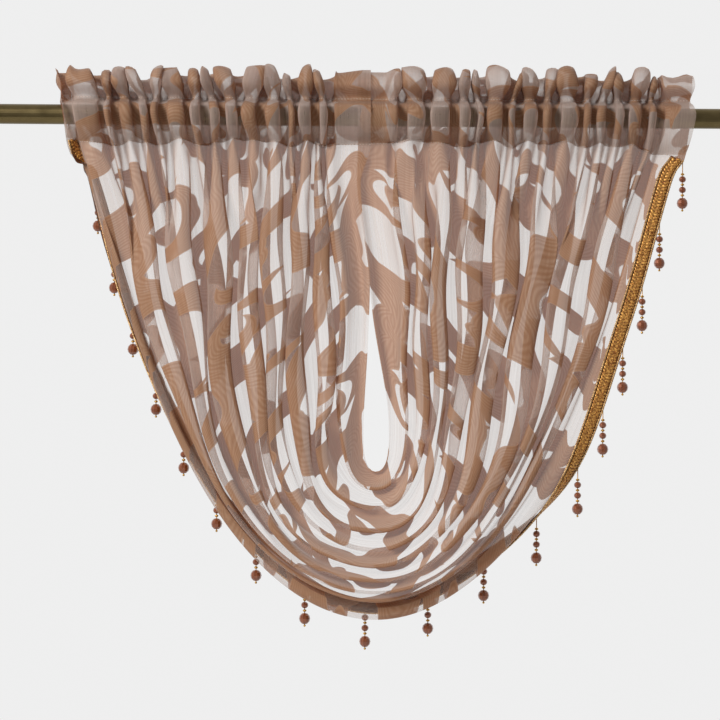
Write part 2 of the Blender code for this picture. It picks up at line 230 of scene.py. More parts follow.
# Hem, the strip outside the last crest, which widens on its way down
HEM_WIDE_TOP = 0.021
HEM_WIDE_BOTTOM = 0.046
HEM_WIDEN = (0.3, 0.9)
LEFT_END_SHARE = 0.55  # of its width at the casing's left end
# How far it turns to the back at the bottom and on the left, the share of its width over which it
# bends, and the shares of the way down between which the turn grows on either side
HEM_ROLL = math.radians(160)
LEFT_ROLL = math.radians(130)
LEFT_ROLL_SHARE = 0.37
RIGHT_ROLL_SHARE = 0.75
BOTTOM_ROLL_SHARE = 0.75
LEFT_ROLL_GROWS = (0.0, 0.06)
RIGHT_ROLL_GROWS = (0.42, 0.90)
BRAID_WIDE = 0.016
BRAID_MOST = 0.85  # of the hem's width, where that is narrow

# Mesh steps
SWAG_STEPS = 280
HEM_STEPS = 12
CASING_STEPS = 28
BODY_STEPS = 104
CURVE_POINTS = 240
CURVE_CROWDING = 3  # above 1, so that a curve's points lie closest where it turns at its bottom
COLUMN_POINTS = 1000
ROLL_POINTS = 41
FOLD_STEP = 0.02  # to either side, for the way to the next fold
DOWN_STEP = 0.01  # up and down, for a fold's direction

# Woven scrolls, drawn in a repeat of REPEAT_WIDE by REPEAT_LONG, in metres.
# Stems wind along the cloth: their middle line, its sway, the share of the repeat it is shifted by,
# half their width and how much that swells and thins.
# Leaves curl off them: the middle and radius of the outer circle, the way towards which a second
# circle bites into it, how far that one's middle is moved, its radius, and the side of the tip that
# ends in a round bud, with the bud's radius.
REPEAT_WIDE = 0.247
REPEAT_LONG = 0.299
REPEAT_START = -0.070  # where the first repeat starts, from the swag's free edge
REPEAT_SCALE = (1.25, 0.74)  # how large the scrolls are woven, across the folds and along them
WARP = 0.020  # how far the drawn scrolls wander from their repeat, and how fast, per metre
WARP_SCALE = 16.0
Stem = namedtuple("Stem", "x sway shift half_wide swell")
STEMS = (
    Stem(0.065, 0.027, 0.00, 0.0165, 0.0045),
    Stem(0.190, 0.025, 0.42, 0.0150, 0.0045),
)
Leaf = namedtuple("Leaf", "x y radius turn bite inner tip bud")
LEAVES = (
    Leaf(0.129, 0.068, 0.050, 75, 0.024, 0.036, -1, 0.0130),
    Leaf(0.016, 0.153, 0.047, 250, 0.023, 0.033, 1, 0.0125),
    Leaf(0.130, 0.218, 0.047, 330, 0.023, 0.034, 1, 0.0125),
    Leaf(0.231, 0.039, 0.045, 120, 0.022, 0.032, 0, 0.0),
    Leaf(0.242, 0.242, 0.050, 60, 0.024, 0.036, -1, 0.0130),
    Leaf(0.146, 0.146, 0.035, 200, 0.019, 0.026, 0, 0.0),
    Leaf(0.013, 0.065, 0.035, 300, 0.019, 0.026, 0, 0.0),
    Leaf(0.081, 0.289, 0.032, 160, 0.019, 0.025, 0, 0.0),
    Leaf(0.215, 0.137, 0.032, 20, 0.018, 0.025, 0, 0.0),
)
BUD_TURN = math.radians(10)
RIB_PITCH = 0.0033
BOTTOM_SPREAD = (0.0, 0.32)  # from the swag's bottom up to where the cloth is no longer spread thin
BOTTOM_THIN = 0.15
GATHERED_CROWDING = 0.22  # of the threads in the casing and the frill, where the cloth is gathered, which also deepens the painted shade there
GATHERED_REACH = 0.20  # and how far below the seam it has spread again
EDGE_SOFT = 0.0004  # half the width of the scrolls' soft edge
STREAKS = (420.0, 9.0, 1.0)  # how fast the streaks change across the cloth and along it, per metre
STREAK_COVER = 0.07  # how much the streaks add to the ground's cover or take from it
STREAK_RANGE = (0.3, 0.7)  # of the noise, over which they do
CROWDED_COVER = 0.60  # added to the ground's cover where the cloth runs straight to the front or back
CROWDED_PAINTED_SHADE = 0.30  # and how far its colour is darkened towards brown there, a painted shade on the folds' sides
THROUGH_SHARE = 0.4  # of what shows of the cloth is the light that comes through it

# Braid, across as shares of half the hem's braid, and out from the cloth in metres
PLAIT_STRANDS = 3
PLAIT_REACH = 0.56  # of the strands to either side
PLAIT_OUT = 0.0027
PLAIT_RISE = 0.0008  # where one strand crosses over the others
PLAIT_WIDE = 0.0036
PLAIT_THICK = 0.0014
PLAIT_SIDES = 6
BACKING_OUT = 0.0016
BACKING_WIDE = 0.0150
BACKING_THICK = 0.0012
BACKING_SIDES = 8
CORD_AT = 0.92
CORD_TWIST = 0.08  # of its two plies to either side
CORD_TWIST_LONG = 0.0042
CORD_OUT = 0.0025
CORD_RISE = 0.0006
CORD_THICK = 0.0016
CORD_SIDES = 5

# Bead drops, counted from the right end of the hem. Their roots lie a little in from its edge, as a
# share of the way to the braid's middle, and out from it. Each bead's place is its middle's depth
# below the root.
DROP_COUNT = 18
DROP_SPACING = 0.0711
FIRST_DROP = 0.0030
DROP_INSET = 0.125
DROP_OUT = 0.0030
THREAD_RADIUS = 0.0005
SMALL_BEADS = (0.0190, 0.0305)
SMALL_BEAD_RADIUS = 0.0040
SMALL_BEAD_HEIGHT = 0.0037  # half of it, as for the others
SPACERS = (0.0135, 0.0248, 0.0365)
SPACER_RADIUS = 0.0021
SPACER_HEIGHT = 0.0014
BIG_BEAD = 0.0452
BIG_BEAD_RADIUS = 0.0061
BIG_BEAD_HEIGHT = 0.0064
TIP = 0.0530
TIP_RADIUS = 0.0013
BEAD_FACETS = 10
BEAD_RINGS = 6
THREAD_SIDES = 6
THREAD_POINTS = 4

# Grain of the solid materials, per metre
YARN_GRAIN = 600.0
THREAD_GRAIN = 700.0
BEAD_GRAIN = 300.0
SPACER_GRAIN = 200.0
ROD_GRAIN = 60.0
PAINTED_GLINT_RANGE = (0.35, 0.65)  # of the yarn's grain, from its dark to its light: the light flecks a painted glint, the dark between them painted shade

# Stitches of the casing's two seams
STITCH_STATION = 4  # of the casing, where the frill is stitched off
STITCH_RADIUS = 0.0003
STITCH_LONG = 0.0022
STITCH_PITCH = 0.0034
STITCH_SIDES = 4

# Stage
FLOOR_HALF = 1.2
FLOOR_HEIGHT = -1.05
LAMP_SIZE = 1.2
LAMP_PLACE = (-2.0, -2.0, 1.2)
LAMP_AIM = Vector((0, 0, -0.25))
DIM_SIDE = 0.27  # the light from the front, where the back has the full room light
DIM_REACH = (-0.9, 0.7)  # of the direction's depth, from the front to the back
CAMERA_LENS = 135
CAMERA_PLACE = (-0.012, -2.97, -0.268)
CAMERA_ROLL = math.radians(0.4)


def smooth(low, high, value):
    """0 below low, 1 above high, and a soft step between."""
    share = np.clip((value - low) / (high - low), 0.0, 1.0)
    return share * share * (3 - 2 * share)


def column(table, name, place):
    """A column of a table at any place between its rows, on a smooth curve through them."""
    rows = np.array([getattr(row, name) for row in table])
    last = len(rows) - 1
    place = np.clip(np.asarray(place, float), 0, last)
    low = np.minimum(place.astype(int), last - 1)
    share = place - low
    before, after = rows[np.maximum(low - 1, 0)], rows[np.minimum(low + 2, last)]
    start, end = rows[low], rows[low + 1]
    slope_start, slope_end = (end - before) / 2, (after - start) / 2
    return (
        start * (1 + 2 * share) * (1 - share) ** 2
        + slope_start * share * (1 - share) ** 2
        + end * share**2 * (3 - 2 * share)
        - slope_end * share**2 * (1 - share)
    )


def between(start, end, value):
    """1 on a stretch, with a soft step up over start and down over end, which are pairs of values."""
    return smooth(*start, value) * (1 - smooth(*end, value))


def side_column(side, name, fold):
    """A column of the folds' table that has one value for the left side and one for the right."""
    return column(FOLDS, ("left_" if side < 0 else "right_") + name, fold)


def half_curve(side, fold, down):
    """Distance from the swag's middle and height of each fold's line, at shares down its length."""
    top = side * (side_column(side, "top", fold) - SWAG_MIDDLE)
    mid = side * (side_column(side, "mid", fold) - SWAG_MIDDLE)
    power = column(FOLDS, "roundness", fold)
    depth = column(FOLDS, "drop", fold) + SEAM.height
    mid_share = (MID_DEPTH + SEAM.height) / depth
    taper = (mid / np.sqrt(1 - mid_share**power) - top) / mid_share
    away, height = np.empty((2, len(down), len(fold)))
    share = 1 - (1 - np.linspace(0, 1, CURVE_POINTS)) ** CURVE_CROWDING
    for i in range(len(fold)):
        out = (top[i] + taper[i] * share) * np.sqrt(1 - share ** power[i])
        low = SEAM.height - depth[i] * share
        length = np.concatenate([[0], np.cumsum(np.hypot(np.diff(out), np.diff(low)))])
        away[:, i] = np.interp(down, length / length[-1], out)
        height[:, i] = np.interp(down, length / length[-1], low)
    return away, height


def gathers(side, away):
    """The header's gathers at places along the rod: how far out each place is, from -1 at a neck to 1
    on a head, how far its head swells over its neck, how high its whole crest rises, how far the crest
    is rounded up there, and how far it leans."""
    rows = LEFT_GATHERS if side < 0 else RIGHT_GATHERS
    ends = np.cumsum([0.0] + [row.width for row in rows])
    places, counts = [], []
    # A neck is over at a quarter of each count, and the next one starts at three quarters.
    for number, (start, end) in enumerate(zip(ends, ends[1:])):
        neck = min(NECK_WIDE, (end - start) / 4)
        places += [start, start + neck, end - neck]
        counts += [number, number + 0.25, number + 0.75]
    places.append(ends[-1])
    counts.append(len(rows))
    fine = np.arange(0.0, ends[-1], 2 * GATHER_BLUR / BLUR_POINTS)
    count = np.interp(fine, places, counts)
    weights = np.hanning(2 * BLUR_POINTS + 1)
    padded = np.pad(count, BLUR_POINTS, mode="reflect", reflect_type="odd")
    count = np.convolve(padded, weights / weights.sum(), mode="valid")
    pitch = np.interp(away, fine, 1 / np.gradient(count, fine))
    count = np.interp(away, fine, count)
    head = -np.cos(2 * np.pi * count)
    swell = np.minimum(pitch, WIDEST_SWELL) * np.sin(4 * np.pi * count)
    middles = np.arange(len(rows)) + 0.5
    rise = np.interp(count, middles, [row.rise for row in rows])
    lean = np.interp(count, middles, [row.lean for row in rows])
    lobe = CREST_LOBE * (1 - np.abs(np.cos(np.pi * count)) ** LOBE_POWER)
    lobe = lobe - CREST_TILT * lean * np.sin(2 * np.pi * count)
    return head, swell, rise, lobe, lean


def ruffle(waves, side, away):
    """The sum of some waves at places along the rod, which start differently on its two sides."""
    return sum(wave.high * np.sin(2 * np.pi * away / wave.long + side * wave.start) for wave in waves)


def meeting(fold):
    """1 where the casing's two halves overlap in the middle, and 0 clear of it."""
    return 1 - smooth(*MEET_FOLDS, fold)


def creases(side, fold, rows):
    """How far the minor creases stand out on one half of the swag."""
    height = np.zeros((len(rows), len(fold)))
    for crease in CREASES:
        if crease.side == side:
            share = (rows - crease.upper) / (crease.lower - crease.upper)
            place = (fold - crease.fold - crease.drift * share) / crease.half_wide
            starts = (crease.upper, crease.upper + CREASE_END)
            ends = (crease.lower - CREASE_END, crease.lower)
            height = height + crease.height * between(starts, ends, rows) * np.exp(-(place**2))
    return height


def body_points(side, down, fold):
    """The cloth below the seam, as away, y and height, and the outward direction."""
    away, height = half_curve(side, fold, down)
    wider, tighter = np.minimum(fold + FOLD_STEP, LAST), np.maximum(fold - FOLD_STEP, 0)
    further = np.stack(half_curve(side, wider, down)) - np.stack(half_curve(side, tighter, down))
    further /= wider - tighter
    lower, upper = np.minimum(down + DOWN_STEP, 1), np.maximum(down - DOWN_STEP, 0)
    along = np.stack(half_curve(side, fold, lower)) - np.stack(half_curve(side, fold, upper))
    along /= np.hypot(*along)
    out = np.stack([-along[1], along[0]])
    pitch = (further * out).sum(0)

    rows = down[:, None]
    wave = np.cos(2 * np.pi * fold)
    open_up = smooth(0.0, FOLDS_OPEN, rows)
    turn = smooth(*TURN, rows)
    calm = smooth(*FLAT_FOLDS, fold)
    head, pleat_swell = gathers(side, side * (side_column(side, "top", fold) - SWAG_MIDDLE))[:2]
    lean = LEAN_SHARE * side_column(side, "lean", fold) * open_up * (1 - turn) + BOTTOM_LEAN * turn
    swell = np.interp(fold, range(LAST + 1), SWELLS) * open_up * (1 - turn)
    swell = swell + BOTTOM_SWELL * turn * smooth(*SWELL_FOLDS, fold)
    sway = SWAY * np.sin(2 * np.pi * SWAY_TURNS * rows + SWAY_STEP * side * fold)
    sway = sway * between(SWAY_START, SWAY_END, rows) * between(SWELL_FOLDS, (LAST - 1, LAST), fold)
    gathered = between((0.0, GATHER_PINCH), (GATHER_PINCH, GATHER_END), rows)
    shift = pitch * (wave * lean + sway + calm * swell * np.sin(4 * np.pi * fold))
    shift = shift + GATHER_SWELL * pleat_swell * calm * gathered
    front = column(FOLDS, "front", fold) * smooth(FRONT_START, 1.0, rows) ** FRONT_POWER
    front = front + SEAM.half_depth
    if side < 0:
        front = front + MEET_STEP * meeting(fold) * (1 - smooth(*MEET_STEP_END, rows))
    depth = column(FOLDS, "depth", fold) * open_up * (1 - (1 - BOTTOM_DEPTH) * turn)
    y = -front - depth * wave - SEAM.gather * head * calm * (1 - smooth(0.0, GATHER_END, rows))
    y = y - creases(side, fold, rows)
    away = np.maximum(away + out[0] * shift, INNER_GAP * (1 - smooth(*GAP_END, rows)))
    away = away - 2 * MEET_OVERLAP * meeting(fold) * (1 - smooth(0.0, MEET_DOWN, rows))
    closed = LEFT_SLIT_CLOSED if side < 0 else RIGHT_SLIT_CLOSED
    away = away - closed * between((0.0, MEET_DOWN), SLIT_OPENS, rows) * meeting(fold)
    shifted = (1 - smooth(*SLIT_SHIFT_FOLDS, fold)) * (1 - smooth(*SLIT_SHIFT_END, rows))
    away = away - side * SLIT_SHIFT * shifted
    return away, y, height + out[1] * shift, out


def hem_width(side, rows):
    """How wide the hem's strip is at each share of the way down."""
    width = HEM_WIDE_TOP + (HEM_WIDE_BOTTOM - HEM_WIDE_TOP) * smooth(*HEM_WIDEN, rows)
    if side < 0:
        width = width * (LEFT_END_SHARE + (1 - LEFT_END_SHARE) * smooth(*LEFT_ROLL_GROWS, rows))
    return width


def hem_shares(side, rows):
    """Shares of the hem's width, half of them up to the braid's inner edge and half across it."""
    braid = np.minimum(BRAID_WIDE / hem_width(side, rows), BRAID_MOST)
    steps = np.arange(1, HEM_STEPS // 2 + 1) / (HEM_STEPS // 2)
    return np.hstack([(1 - braid) * steps, 1 - braid + braid * steps])


def hem_points(side, down):
    """The strip outside the last crest, as away, y and height."""
    away, y, height, out = body_points(side, down, np.array([float(LAST)]))
    rows = down[:, None]
    top = away[0, 0]
    beyond = top + hem_width(side, rows[:1]) * hem_shares(side, rows[:1])
    ends = gathers(side, np.concatenate([[top], beyond[0]]))[0]
    y = y - SEAM.gather * (ends[1:] - ends[0]) * (1 - smooth(0.0, GATHER_END, rows))
    if side < 0:
        roll = LEFT_ROLL + (HEM_ROLL - LEFT_ROLL) * smooth(*HEM_WIDEN, rows)
        roll, bent = roll * smooth(*LEFT_ROLL_GROWS, rows), LEFT_ROLL_SHARE
    else:
        roll, bent = HEM_ROLL * smooth(*RIGHT_ROLL_GROWS, rows), RIGHT_ROLL_SHARE
    bent = bent + (BOTTOM_ROLL_SHARE - bent) * smooth(*HEM_WIDEN, rows)
    fine = np.linspace(0, 1, ROLL_POINTS)
    angle = roll * smooth(0.0, bent, fine)
    step = np.diff(fine, prepend=0)
    shares = hem_shares(side, rows)
    turned = []
    for part in (np.cos(angle), np.sin(angle)):
        travelled = np.cumsum(part * step, axis=1)
        turned.append(np.stack([np.interp(share, fine, row) for share, row in zip(shares, travelled)]))
    sideways, backwards = hem_width(side, rows) * np.stack(turned)
    return away + out[0] * sideways, y + backwards, height + out[1] * sideways


def casing_face(side, face, fold):
    """Rows of the turned-over casing from its seam up to its crest, on its back or its front."""
    seam = np.array([[0.0]])
    away = body_points(side, seam[0], fold)[0][0]
    hem = away[-1] + (hem_width(side, seam) * hem_shares(side, seam))[0]
    out = np.concatenate([away, hem])
    wide = np.concatenate([fold, np.full(len(hem), float(LAST))])
    head, swell, rise, lobe, lean = gathers(side, out)
    calm = smooth(*FLAT_FOLDS, wide)
    wave, swell, lean = head * calm, swell * calm, lean * calm
    crest = rise + (lobe - CREST_LOBE / 2) * calm
    spread = (LEFT_SPREAD if side < 0 else RIGHT_SPREAD) - 1
    outside = MEET_STEP * meeting(wide) * (side < 0)
    top = len(CASING) - 1
    rows = []
    for place in np.linspace(0, top, CASING_STEPS + 1):
        depth = column(CASING, "half_depth", place) + outside * (1 - smooth(top - 1, top, place))
        gather = column(CASING, "gather", place)
        height = column(CASING, "height", place) + outside * smooth(top - 1, top, place)
        x = out * (1 + spread * column(CASING, "spread", place))
        x = x + swell * column(CASING, "swell", place) + lean * column(CASING, "lean", place)
        frill = smooth(STITCH_STATION, top, place)
        x = x + frill * calm * ruffle(RUFFLE_ACROSS, side, out)
        height = height + frill * (crest + calm * ruffle(RUFFLE_UP, side, out))
        y = face * depth - gather * wave + frill * calm * ruffle(RUFFLE_OUT, side, out)
        rows.append(placed(side, x, y, height))
    return rows


def placed(side, away, y, height):
    """A row of xyz from distances from the swag's middle."""
    return np.stack(np.broadcast_arrays(SWAG_MIDDLE + side * away, y, height), axis=-1)


def swag_columns():
    """Places across the folds for the mesh's columns, evenly spaced along the two seams together."""
    fold = np.linspace(0, LAST, COLUMN_POINTS)
    away = column(FOLDS, "right_top", fold) - column(FOLDS, "left_top", fold)
    return np.interp(np.linspace(away[0], away[-1], SWAG_STEPS + 1), away, fold)


def half_rows(side):
    """The cloth's rows on one side, from the casing's raw edge at the back to the swag's bottom."""
    fold = swag_columns()
    back, front = casing_face(side, 1, fold), casing_face(side, -1, fold)
    down = np.linspace(0, 1, BODY_STEPS + 1)
    body = body_points(side, down, fold)[:3]
    hem = hem_points(side, down)
    body = placed(side, *(np.concatenate(pair, axis=-1) for pair in zip(body, hem)))
    rows = np.array(back[:-1] + front[:0:-1] + list(body))
    sag = SEAM_SAG * gathers(side, side * (body[0, :, 0] - SWAG_MIDDLE))[2]
    rows[..., 2] += sag * (1 - smooth(0.0, SAG_REACH, np.abs(rows[..., 2] - SEAM.height)))
    return rows


def cloth_rows():
    """All the cloth's points, from the left raw edge of the casing to the right one."""
    left, right = half_rows(-1), half_rows(1)
    return np.concatenate([left, right[-2::-1]])


def face_normals(rows):
    """The direction in which the cloth faces at each of its points, towards the room in front."""
    down, across = np.gradient(rows, axis=0), np.gradient(rows, axis=1)
    normals = np.cross(across, down)
    normals /= np.linalg.norm(normals, axis=-1, keepdims=True)
    return normals


def mesh_object(name, points, faces):
    """A smooth object of the given corners and faces, in the scene."""
    mesh = bpy.data.meshes.new(name)
    mesh.from_pydata(points, [], faces)
    mesh.shade_smooth()
    made = bpy.data.objects.new(name, mesh)
    bpy.context.scene.collection.objects.link(made)
    return made


def grid_object(name, rows, uv):
    """An object of quads through rows of points, with its UV map in metres."""
    count, wide = rows.shape[:2]
    corner = np.arange(count * wide).reshape(count, wide)
    quads = np.stack([corner[:-1, :-1], corner[:-1, 1:], corner[1:, 1:], corner[1:, :-1]], axis=-1)
    quads = quads.reshape(-1, 4)
    made = mesh_object(name, rows.reshape(-1, 3), quads.tolist())
    layer = made.data.uv_layers.new(name="flat cloth")
    layer.data.foreach_set("uv", uv.reshape(-1, 2)[quads.ravel()].ravel())
    return made


def flat_places(rows):
    """Where each point of the cloth lies when it is flat: along the folds' lines, and across them."""
    along = np.linalg.norm(np.diff(rows, axis=0), axis=-1)
    along = np.concatenate([np.zeros((1, rows.shape[1])), np.cumsum(along, axis=0)])
    along -= along[len(rows) // 2]
    across = np.linalg.norm(np.diff(rows, axis=1), axis=-1).mean(axis=0)
    across = np.concatenate([[0], np.cumsum(across)])
    return np.stack(np.broadcast_arrays(across, along), axis=-1)


def linear(colour):
    """A hex sRGB colour as linear values with an alpha of 1."""
    parts = [int(colour[i : i + 2], 16) / 255 for i in (1, 3, 5)]
    return (*(p / 12.92 if p <= 0.04045 else ((p + 0.055) / 1.055) ** 2.4 for p in parts), 1)


def add(tree, kind, inputs=None, **settings):
    """One shader node with its settings, its inputs given as values or as outputs to link."""
    node = tree.nodes.new(kind)
    for name, value in settings.items():
        setattr(node, name, value)
    for socket, value in (inputs or {}).items():
        if isinstance(value, bpy.types.NodeSocket):
            tree.links.new(value, node.inputs[socket])
        else:
            node.inputs[socket].default_value = value
    return node


def new_material(name):
    """An empty node material, with its output node."""
    made = bpy.data.materials.new(name)
    made.use_nodes = True
    made.node_tree.nodes.clear()
    return made, made.node_tree, made.node_tree.nodes.new("ShaderNodeOutputMaterial")


def math_node(tree, operation, *values):
    """The result of one sum on values or on other nodes' outputs."""
    return add(tree, "ShaderNodeMath", dict(enumerate(values)), operation=operation).outputs[0]


def vector_node(tree, operation, *values):
    """The vector that one sum on vectors gives."""
    return add(tree, "ShaderNodeVectorMath", dict(enumerate(values)), operation=operation).outputs[0]


def wrapped_distances(tree, place, middle, points):
    """How far a place on the cloth is from each point, in the repeat that lies around middle."""
    half = Vector((REPEAT_WIDE / 2, REPEAT_LONG / 2, 1))
    near = vector_node(tree, "WRAP", place, middle + half, middle - half)
    return [
        add(tree, "ShaderNodeVectorMath", {0: near, 1: point}, operation="DISTANCE").outputs[1]
        for point in points
    ]


def polar(radius, angle):
    """The vector of a length and a direction."""
    return radius * Vector((math.cos(angle), math.sin(angle), 0))


def leaf_fields(tree, place, leaf):
    """How far inside a curling leaf's edge a place is, and inside the bud at its tip."""
    middle, turn = Vector((leaf.x, leaf.y, 0)), math.radians(leaf.turn)
    bite = middle + polar(leaf.bite, turn)
    outer, inner = wrapped_distances(tree, place, middle, (middle, bite))
    outer = math_node(tree, "SUBTRACT", leaf.radius, outer)
    inner = math_node(tree, "SUBTRACT", inner, leaf.inner)
    fields = [math_node(tree, "MINIMUM", outer, inner)]
    if leaf.tip:
        reach = (leaf.radius**2 - leaf.inner**2 + leaf.bite**2) / (2 * leaf.bite)
        angle = turn + leaf.tip * (math.acos(reach / leaf.radius) + BUD_TURN)
        bud = middle + polar(leaf.radius - leaf.bud, angle)
        (far,) = wrapped_distances(tree, place, bud, (bud,))
        fields.append(math_node(tree, "SUBTRACT", leaf.bud, far))
    return fields


def stem_field(tree, across, along, stem):
    """How far inside a winding stem's edge a place is."""
    turn = math_node(tree, "MULTIPLY_ADD", along, 2 * math.pi / REPEAT_LONG, 2 * math.pi * stem.shift)
    sway = math_node(tree, "SINE", turn)
    off = math_node(tree, "MULTIPLY_ADD", sway, -stem.sway, math_node(tree, "SUBTRACT", across, stem.x))
    off = math_node(tree, "ABSOLUTE", math_node(tree, "WRAP", off, REPEAT_WIDE / 2, -REPEAT_WIDE / 2))
    swell = math_node(tree, "COSINE", math_node(tree, "MULTIPLY", turn, 2.0))
    half_wide = math_node(tree, "MULTIPLY_ADD", swell, stem.swell, stem.half_wide)
    return math_node(tree, "SUBTRACT", half_wide, off)


def motif_field(tree, place):
    """How far inside the scrolls' edge a place on the flat cloth is, in metres."""
    parts = add(tree, "ShaderNodeSeparateXYZ", {0: place})
    fields = [stem_field(tree, parts.outputs[0], parts.outputs[1], stem) for stem in STEMS]
    for leaf in LEAVES:
        fields += leaf_fields(tree, place, leaf)
    best = fields[0]
    for field in fields[1:]:
        best = math_node(tree, "MAXIMUM", best, field)
    return best


def noise(tree, place, scale, detail=2.0):
    """A soft cloudy value from 0 to 1."""
    inputs = {"Vector": place, "Scale": scale, "Detail": detail}
    return add(tree, "ShaderNodeTexNoise", inputs).outputs[0]


def ranged(tree, value, low, high, start=0.0, end=1.0, **settings):
    """A value that lies between start and end, brought between low and high."""
    inputs = {0: value, 1: start, 2: end, 3: low, 4: high}
    return add(tree, "ShaderNodeMapRange", inputs, **settings).outputs[0]


def mixed_colour(tree, share, low, high):
    """A colour between two, which are hex colours, values or other nodes' outputs."""
    low, high = (linear(c) if isinstance(c, str) else c for c in (low, high))
    return add(tree, "ShaderNodeMix", {0: share, 6: low, 7: high}, data_type="RGBA").outputs[2]


def voile_material(ground_cover, motif_cover, ground_colour, lit_satin_colour):
    """Sheer organza with satin scrolls woven in. The thin ground lets most of the light through, and
    more of it is held back where its threads crowd together in the sides of the folds and in fine
    streaks along them. There, and in the gathers, its colour is also darkened towards brown, a
    painted shade. The scrolls are dense, softly shining and finely ribbed, their ribs drawn in light
    and dark stripes, a painted highlight on the rib tops beside their bump, and the light that
    comes through them is a deeper brown."""
    made, tree, output = new_material("sheer organza with satin scrolls")
    place = add(tree, "ShaderNodeUVMap", uv_map="flat cloth").outputs[0]
    wander = add(tree, "ShaderNodeTexNoise", {"Vector": place, "Scale": WARP_SCALE, "Detail": 1.0})
    wander = vector_node(tree, "SUBTRACT", wander.outputs["Color"], (0.5, 0.5, 0.5))
    wander = vector_node(tree, "MULTIPLY", wander, (2 * WARP, 2 * WARP, 0.0))
    drawn = vector_node(tree, "DIVIDE", place, (*REPEAT_SCALE, 1.0))
    field = motif_field(tree, vector_node(tree, "ADD", drawn, wander))
    motif = ranged(tree, field, 0.0, 1.0, -EDGE_SOFT, EDGE_SOFT)
    ribs = math_node(tree, "SINE", math_node(tree, "MULTIPLY", field, 2 * math.pi / RIB_PITCH))
    ribs = ranged(tree, ribs, 0.0, 1.0, -1.0, 1.0)
    streaks = noise(tree, vector_node(tree, "MULTIPLY", place, STREAKS), 1.0, 3.0)
    # painted highlight: the ribs' tops take the lighter scrolls' colour, as where they catch the light,
    # and their hollows the darker one; the bump gives them their real relief
    satin = mixed_colour(tree, ribs, "#BC9170", lit_satin_colour)
    satin = mixed_colour(tree, streaks, satin, "#A97C5A")
    crowding_and_shade = add(tree, "ShaderNodeAttribute", attribute_name="crowding_and_shade").outputs["Fac"]
    colour = mixed_colour(tree, motif, ground_colour, satin)
    # painted shade: where the threads crowd, in the folds' sides and the gathers, the colour is
    # darkened towards brown
    colour = mixed_colour(tree, math_node(tree, "MULTIPLY", crowding_and_shade, CROWDED_PAINTED_SHADE), colour, "#6B4C3A")
    through_colour = mixed_colour(tree, motif, "#CFB3A3", "#985838")
    ground = math_node(tree, "MULTIPLY_ADD", crowding_and_shade, CROWDED_COVER, ground_cover)
    uneven = ranged(tree, streaks, -STREAK_COVER, STREAK_COVER, *STREAK_RANGE)
    cover = ranged(tree, motif, math_node(tree, "ADD", ground, uneven), motif_cover)
    relief = math_node(tree, "MULTIPLY", ribs, motif)
    look = {
        "Base Color": colour,
        "Roughness": ranged(tree, motif, 0.75, 0.58),
        "Normal": add(
            tree, "ShaderNodeBump", {"Height": relief, "Strength": 0.15, "Distance": 0.0003}
        ).outputs[0],
        "Specular IOR Level": 0.3,
        "Sheen Weight": 0.75,
        "Sheen Roughness": 0.35,
        "Sheen Tint": linear("#FFEDE2"),
    }
    front = add(tree, "ShaderNodeBsdfPrincipled", look).outputs[0]
    through = add(tree, "ShaderNodeBsdfTranslucent", {0: through_colour}).outputs[0]
    cloth = add(tree, "ShaderNodeMixShader", {0: THROUGH_SHARE, 1: front, 2: through}).outputs[0]
    clear = add(tree, "ShaderNodeBsdfTransparent").outputs[0]
    mixed = add(tree, "ShaderNodeMixShader", {0: cover, 1: clear, 2: cloth}).outputs[0]
    tree.links.new(mixed, output.inputs[0])
    return made


def solid_material(name, colours, gloss, grain, look, detail=2.0, spread=(0.0, 1.0)):
    """An opaque material whose tone varies between two colours with a fine grain that stays on the
    object. gloss is its roughness, or the two values between which that varies too, grain is how fine
    the grain is, and spread the part of it used."""
    made, tree, output = new_material(name)
    cloud = noise(tree, add(tree, "ShaderNodeTexCoord").outputs["Object"], grain, detail)
    tone = mixed_colour(tree, ranged(tree, cloud, 0.0, 1.0, *spread), *colours)
    roughness = ranged(tree, cloud, *gloss) if isinstance(gloss, tuple) else gloss
    look = {"Base Color": tone, "Roughness": roughness, **look}
    surface = add(tree, "ShaderNodeBsdfPrincipled", look).outputs[0]
    tree.links.new(surface, output.inputs[0])
    return made


def metal_material(name, colours, gloss, grain):
    """A metal whose tone and gloss vary softly over its surface."""
    return solid_material(name, colours, gloss, grain, {"Metallic": 1.0}, detail=3.0)


def yarn_material(name, *colours):
    """Metallised braid yarn: film wound on a core. Its colour is flecked at random in a fine grain, the
    light flecks a painted glint of fine threads and the dark between them painted shade.
    """
    look = {"Metallic": 0.5, "Sheen Weight": 0.1}
    return solid_material(name, colours, 0.38, YARN_GRAIN, look, spread=PAINTED_GLINT_RANGE)


def thread_material():
    """Spun polyester sewing thread: matt, with a slight unevenness along each stitch."""
    return solid_material("spun sewing thread", ("#B39A88", "#D6C3B4"), 0.7, THREAD_GRAIN, {})


def bead_material():
    """Lacquered copper-brown bead: a clear hard coat over a warm metallic base, bright at its edges."""
    look = {"Metallic": 0.35, "Coat Weight": 0.8, "Coat Roughness": 0.06}
    colours = ("#5E2C17", "#A05A34")
    return solid_material("lacquered copper bead", colours, 0.28, BEAD_GRAIN, look)


def run_length(line):
    """How far along a line of points each point is."""
    return np.concatenate([[0], np.cumsum(np.linalg.norm(np.diff(line, axis=0), axis=1))])


def points_at(along, length, values):
    """Vectors known at the lengths of a line, at other places along it."""
    return np.stack([np.interp(along, length, values[:, axis]) for axis in range(3)], axis=1)


